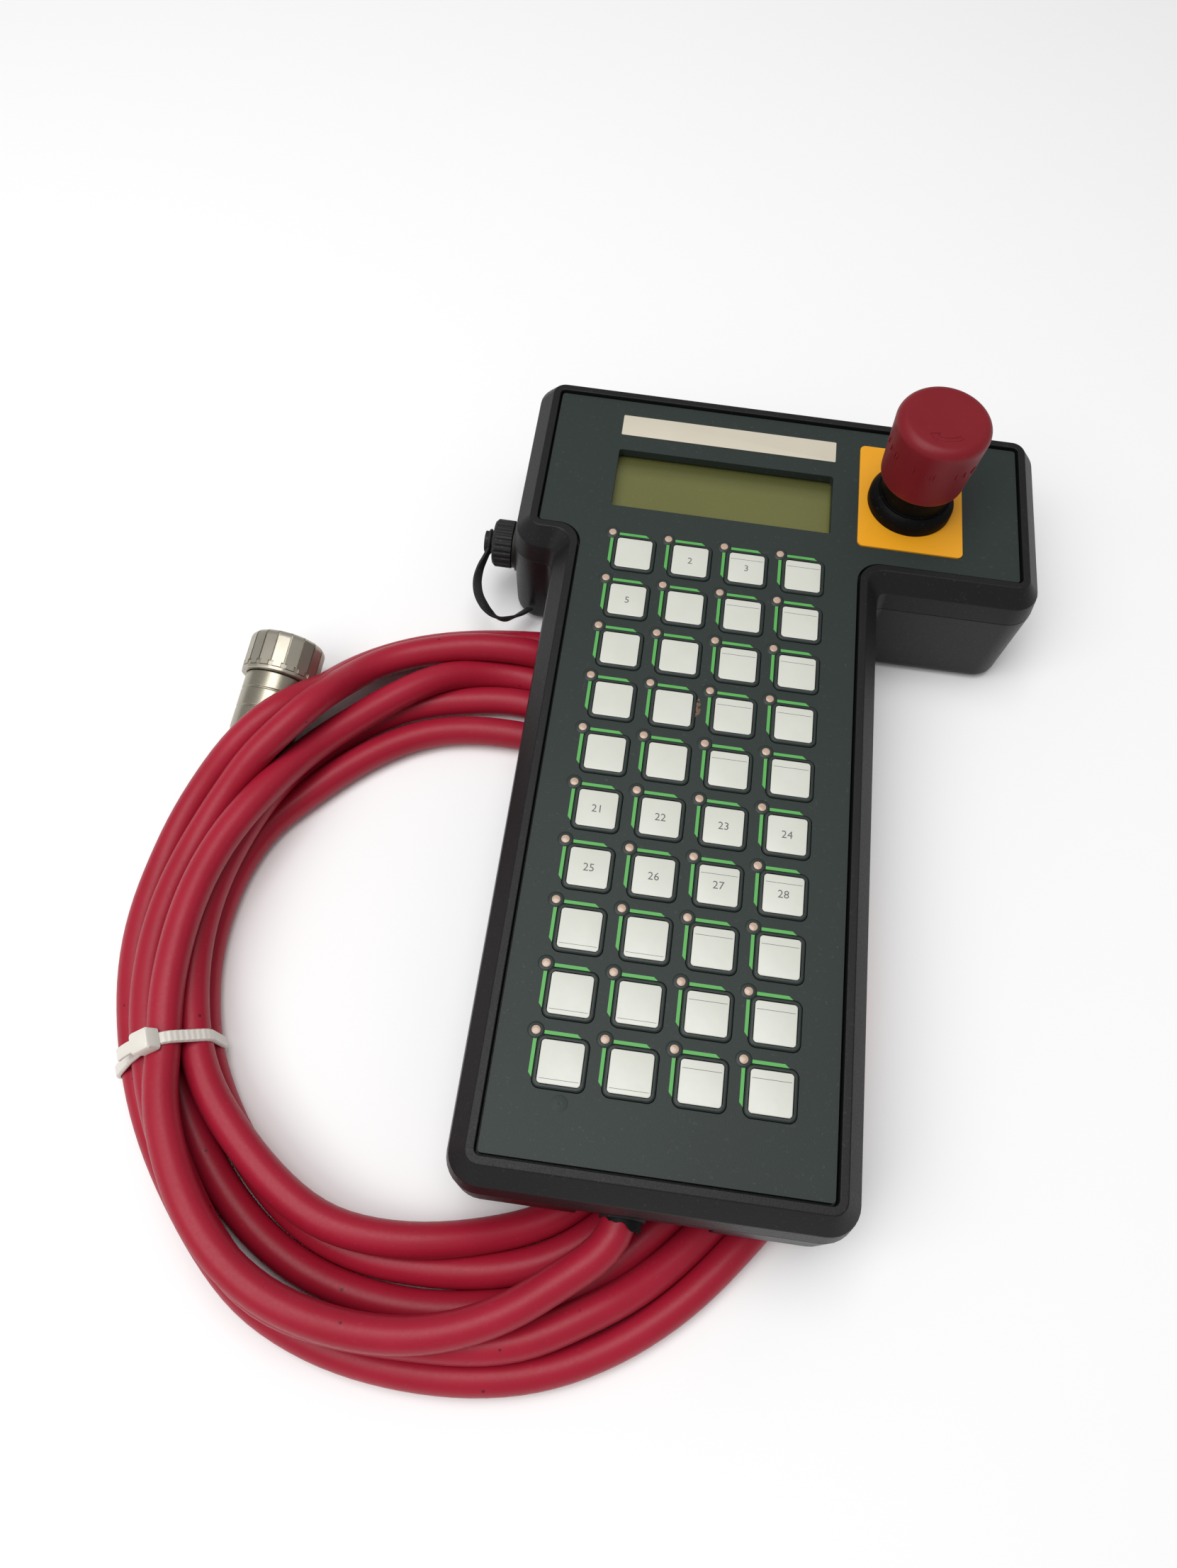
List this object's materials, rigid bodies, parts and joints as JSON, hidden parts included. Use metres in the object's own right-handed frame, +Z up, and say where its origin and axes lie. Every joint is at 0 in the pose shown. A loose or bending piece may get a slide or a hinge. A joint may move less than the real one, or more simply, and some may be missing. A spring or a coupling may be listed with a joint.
{
  "type": "teach pendant",
  "caption": "T-shaped hand-held teach pendant lying face up, with a label-window keypad, a display, a red stop button, a capped port, and a coiled tied cable ending in a round connector.",
  "frame": {"origin": "centre of the head's flat back, on the surface that the pendant lies on", "axes": "+Z up, out of the face; +Y from the cable end of the grip to the head; +X to the side of the stop button"},
  "size_m": [0.2895, 0.3306, 0.09],
  "materials": {
    "housing": "fine satin moulded texture",
    "foil": "matte printed foil, fine grain",
    "key_plastic": "satin",
    "board": "satin",
    "display": "glossy",
    "lamp": "milky",
    "yellow_plate": "satin foil",
    "black_plastic": "glossy",
    "dark_plastic": "satin",
    "red_knob": "satin",
    "nickel": "satin nickel plate",
    "black_rubber": "matte",
    "red_cable": "satin jacket",
    "white_nylon": "satin",
    "steel": "zinc plate"
  },
  "bodies": {
    "base": {"upper_shell": "housing", "lower_shell": "housing", "front_panel": "foil", "keypad_board": "board", "display_module": "display", "status_lamps": "lamp", "stop_plate": "yellow_plate", "stop_switch": "black_plastic", "port_socket": "nickel", "cap_strap": "black_rubber", "cable_gland": "black_rubber", "cord_lead": "red_cable", "cord_coil": "red_cable", "cable_tie": "white_nylon", "connector_body": "nickel", "housing_screws": "steel"},
    "stop_plunger": {"stop_plunger": "dark_plastic"},
    "stop_knob": {"stop_knob": "red_knob"},
    "port_cap": {"port_cap": "black_rubber"},
    "coupling_ring": {"coupling_ring": "nickel"},
    "key_r01_c1": {"key_r01_c1": "key_plastic"},
    "key_r01_c2": {"key_r01_c2": "key_plastic"},
    "key_r01_c3": {"key_r01_c3": "key_plastic"},
    "key_r01_c4": {"key_r01_c4": "key_plastic"},
    "key_r02_c1": {"key_r02_c1": "key_plastic"},
    "key_r02_c2": {"key_r02_c2": "key_plastic"},
    "key_r02_c3": {"key_r02_c3": "key_plastic"},
    "key_r02_c4": {"key_r02_c4": "key_plastic"},
    "key_r03_c1": {"key_r03_c1": "key_plastic"},
    "key_r03_c2": {"key_r03_c2": "key_plastic"},
    "key_r03_c3": {"key_r03_c3": "key_plastic"},
    "key_r03_c4": {"key_r03_c4": "key_plastic"},
    "key_r04_c1": {"key_r04_c1": "key_plastic"},
    "key_r04_c2": {"key_r04_c2": "key_plastic"},
    "key_r04_c3": {"key_r04_c3": "key_plastic"},
    "key_r04_c4": {"key_r04_c4": "key_plastic"},
    "key_r05_c1": {"key_r05_c1": "key_plastic"},
    "key_r05_c2": {"key_r05_c2": "key_plastic"},
    "key_r05_c3": {"key_r05_c3": "key_plastic"},
    "key_r05_c4": {"key_r05_c4": "key_plastic"},
    "key_r06_c1": {"key_r06_c1": "key_plastic"},
    "key_r06_c2": {"key_r06_c2": "key_plastic"},
    "key_r06_c3": {"key_r06_c3": "key_plastic"},
    "key_r06_c4": {"key_r06_c4": "key_plastic"},
    "key_r07_c1": {"key_r07_c1": "key_plastic"},
    "key_r07_c2": {"key_r07_c2": "key_plastic"},
    "key_r07_c3": {"key_r07_c3": "key_plastic"},
    "key_r07_c4": {"key_r07_c4": "key_plastic"},
    "key_r08_c1": {"key_r08_c1": "key_plastic"},
    "key_r08_c2": {"key_r08_c2": "key_plastic"},
    "key_r08_c3": {"key_r08_c3": "key_plastic"},
    "key_r08_c4": {"key_r08_c4": "key_plastic"},
    "key_r09_c1": {"key_r09_c1": "key_plastic"},
    "key_r09_c2": {"key_r09_c2": "key_plastic"},
    "key_r09_c3": {"key_r09_c3": "key_plastic"},
    "key_r09_c4": {"key_r09_c4": "key_plastic"},
    "key_r10_c1": {"key_r10_c1": "key_plastic"},
    "key_r10_c2": {"key_r10_c2": "key_plastic"},
    "key_r10_c3": {"key_r10_c3": "key_plastic"},
    "key_r10_c4": {"key_r10_c4": "key_plastic"}
  },
  "joints": [
    {"name": "stop_push", "type": "slide", "parent": "base", "child": "stop_plunger", "axis": [0, 0, -1], "range_m": [0, 0.004]},
    {"name": "stop_twist", "type": "hinge", "parent": "stop_plunger", "child": "stop_knob", "pos_m": [0.044, -0.0015, 0.08], "axis": [0, 0, -1], "range_deg": [0, 45], "stiffness_Nm_per_rad": 0.05},
    {"name": "port_cap_turn", "type": "hinge", "parent": "base", "child": "port_cap", "pos_m": [-0.095, -0.0215, 0.0235], "axis": [-1, 0, 0], "continuous": true},
    {"name": "coupling_ring_turn", "type": "hinge", "parent": "base", "child": "coupling_ring", "pos_m": [-0.16439, -0.07935, 0.01595], "axis": [0.0736, 0.9789, 0.1908], "continuous": true},
    {"name": "key_r01_c1_press", "type": "slide", "parent": "base", "child": "key_r01_c1", "axis": [0, 0, -1], "range_m": [0, 0.0005], "stiffness_N_per_m": 2000},
    {"name": "key_r01_c2_press", "type": "slide", "parent": "base", "child": "key_r01_c2", "axis": [0, 0, -1], "range_m": [0, 0.0005], "stiffness_N_per_m": 2000},
    {"name": "key_r01_c3_press", "type": "slide", "parent": "base", "child": "key_r01_c3", "axis": [0, 0, -1], "range_m": [0, 0.0005], "stiffness_N_per_m": 2000},
    {"name": "key_r01_c4_press", "type": "slide", "parent": "base", "child": "key_r01_c4", "axis": [0, 0, -1], "range_m": [0, 0.0005], "stiffness_N_per_m": 2000},
    {"name": "key_r02_c1_press", "type": "slide", "parent": "base", "child": "key_r02_c1", "axis": [0, 0, -1], "range_m": [0, 0.0005], "stiffness_N_per_m": 2000},
    {"name": "key_r02_c2_press", "type": "slide", "parent": "base", "child": "key_r02_c2", "axis": [0, 0, -1], "range_m": [0, 0.0005], "stiffness_N_per_m": 2000},
    {"name": "key_r02_c3_press", "type": "slide", "parent": "base", "child": "key_r02_c3", "axis": [0, 0, -1], "range_m": [0, 0.0005], "stiffness_N_per_m": 2000},
    {"name": "key_r02_c4_press", "type": "slide", "parent": "base", "child": "key_r02_c4", "axis": [0, 0, -1], "range_m": [0, 0.0005], "stiffness_N_per_m": 2000},
    {"name": "key_r03_c1_press", "type": "slide", "parent": "base", "child": "key_r03_c1", "axis": [0, 0, -1], "range_m": [0, 0.0005], "stiffness_N_per_m": 2000},
    {"name": "key_r03_c2_press", "type": "slide", "parent": "base", "child": "key_r03_c2", "axis": [0, 0, -1], "range_m": [0, 0.0005], "stiffness_N_per_m": 2000},
    {"name": "key_r03_c3_press", "type": "slide", "parent": "base", "child": "key_r03_c3", "axis": [0, 0, -1], "range_m": [0, 0.0005], "stiffness_N_per_m": 2000},
    {"name": "key_r03_c4_press", "type": "slide", "parent": "base", "child": "key_r03_c4", "axis": [0, 0, -1], "range_m": [0, 0.0005], "stiffness_N_per_m": 2000},
    {"name": "key_r04_c1_press", "type": "slide", "parent": "base", "child": "key_r04_c1", "axis": [0, 0, -1], "range_m": [0, 0.0005], "stiffness_N_per_m": 2000},
    {"name": "key_r04_c2_press", "type": "slide", "parent": "base", "child": "key_r04_c2", "axis": [0, 0, -1], "range_m": [0, 0.0005], "stiffness_N_per_m": 2000},
    {"name": "key_r04_c3_press", "type": "slide", "parent": "base", "child": "key_r04_c3", "axis": [0, 0, -1], "range_m": [0, 0.0005], "stiffness_N_per_m": 2000},
    {"name": "key_r04_c4_press", "type": "slide", "parent": "base", "child": "key_r04_c4", "axis": [0, 0, -1], "range_m": [0, 0.0005], "stiffness_N_per_m": 2000},
    {"name": "key_r05_c1_press", "type": "slide", "parent": "base", "child": "key_r05_c1", "axis": [0, 0, -1], "range_m": [0, 0.0005], "stiffness_N_per_m": 2000},
    {"name": "key_r05_c2_press", "type": "slide", "parent": "base", "child": "key_r05_c2", "axis": [0, 0, -1], "range_m": [0, 0.0005], "stiffness_N_per_m": 2000},
    {"name": "key_r05_c3_press", "type": "slide", "parent": "base", "child": "key_r05_c3", "axis": [0, 0, -1], "range_m": [0, 0.0005], "stiffness_N_per_m": 2000},
    {"name": "key_r05_c4_press", "type": "slide", "parent": "base", "child": "key_r05_c4", "axis": [0, 0, -1], "range_m": [0, 0.0005], "stiffness_N_per_m": 2000},
    {"name": "key_r06_c1_press", "type": "slide", "parent": "base", "child": "key_r06_c1", "axis": [0, 0, -1], "range_m": [0, 0.0005], "stiffness_N_per_m": 2000},
    {"name": "key_r06_c2_press", "type": "slide", "parent": "base", "child": "key_r06_c2", "axis": [0, 0, -1], "range_m": [0, 0.0005], "stiffness_N_per_m": 2000},
    {"name": "key_r06_c3_press", "type": "slide", "parent": "base", "child": "key_r06_c3", "axis": [0, 0, -1], "range_m": [0, 0.0005], "stiffness_N_per_m": 2000},
    {"name": "key_r06_c4_press", "type": "slide", "parent": "base", "child": "key_r06_c4", "axis": [0, 0, -1], "range_m": [0, 0.0005], "stiffness_N_per_m": 2000},
    {"name": "key_r07_c1_press", "type": "slide", "parent": "base", "child": "key_r07_c1", "axis": [0, 0, -1], "range_m": [0, 0.0005], "stiffness_N_per_m": 2000},
    {"name": "key_r07_c2_press", "type": "slide", "parent": "base", "child": "key_r07_c2", "axis": [0, 0, -1], "range_m": [0, 0.0005], "stiffness_N_per_m": 2000},
    {"name": "key_r07_c3_press", "type": "slide", "parent": "base", "child": "key_r07_c3", "axis": [0, 0, -1], "range_m": [0, 0.0005], "stiffness_N_per_m": 2000},
    {"name": "key_r07_c4_press", "type": "slide", "parent": "base", "child": "key_r07_c4", "axis": [0, 0, -1], "range_m": [0, 0.0005], "stiffness_N_per_m": 2000},
    {"name": "key_r08_c1_press", "type": "slide", "parent": "base", "child": "key_r08_c1", "axis": [0, 0, -1], "range_m": [0, 0.0005], "stiffness_N_per_m": 2000},
    {"name": "key_r08_c2_press", "type": "slide", "parent": "base", "child": "key_r08_c2", "axis": [0, 0, -1], "range_m": [0, 0.0005], "stiffness_N_per_m": 2000},
    {"name": "key_r08_c3_press", "type": "slide", "parent": "base", "child": "key_r08_c3", "axis": [0, 0, -1], "range_m": [0, 0.0005], "stiffness_N_per_m": 2000},
    {"name": "key_r08_c4_press", "type": "slide", "parent": "base", "child": "key_r08_c4", "axis": [0, 0, -1], "range_m": [0, 0.0005], "stiffness_N_per_m": 2000},
    {"name": "key_r09_c1_press", "type": "slide", "parent": "base", "child": "key_r09_c1", "axis": [0, 0, -1], "range_m": [0, 0.0005], "stiffness_N_per_m": 2000},
    {"name": "key_r09_c2_press", "type": "slide", "parent": "base", "child": "key_r09_c2", "axis": [0, 0, -1], "range_m": [0, 0.0005], "stiffness_N_per_m": 2000},
    {"name": "key_r09_c3_press", "type": "slide", "parent": "base", "child": "key_r09_c3", "axis": [0, 0, -1], "range_m": [0, 0.0005], "stiffness_N_per_m": 2000},
    {"name": "key_r09_c4_press", "type": "slide", "parent": "base", "child": "key_r09_c4", "axis": [0, 0, -1], "range_m": [0, 0.0005], "stiffness_N_per_m": 2000},
    {"name": "key_r10_c1_press", "type": "slide", "parent": "base", "child": "key_r10_c1", "axis": [0, 0, -1], "range_m": [0, 0.0005], "stiffness_N_per_m": 2000},
    {"name": "key_r10_c2_press", "type": "slide", "parent": "base", "child": "key_r10_c2", "axis": [0, 0, -1], "range_m": [0, 0.0005], "stiffness_N_per_m": 2000},
    {"name": "key_r10_c3_press", "type": "slide", "parent": "base", "child": "key_r10_c3", "axis": [0, 0, -1], "range_m": [0, 0.0005], "stiffness_N_per_m": 2000},
    {"name": "key_r10_c4_press", "type": "slide", "parent": "base", "child": "key_r10_c4", "axis": [0, 0, -1], "range_m": [0, 0.0005], "stiffness_N_per_m": 2000}
  ]
}
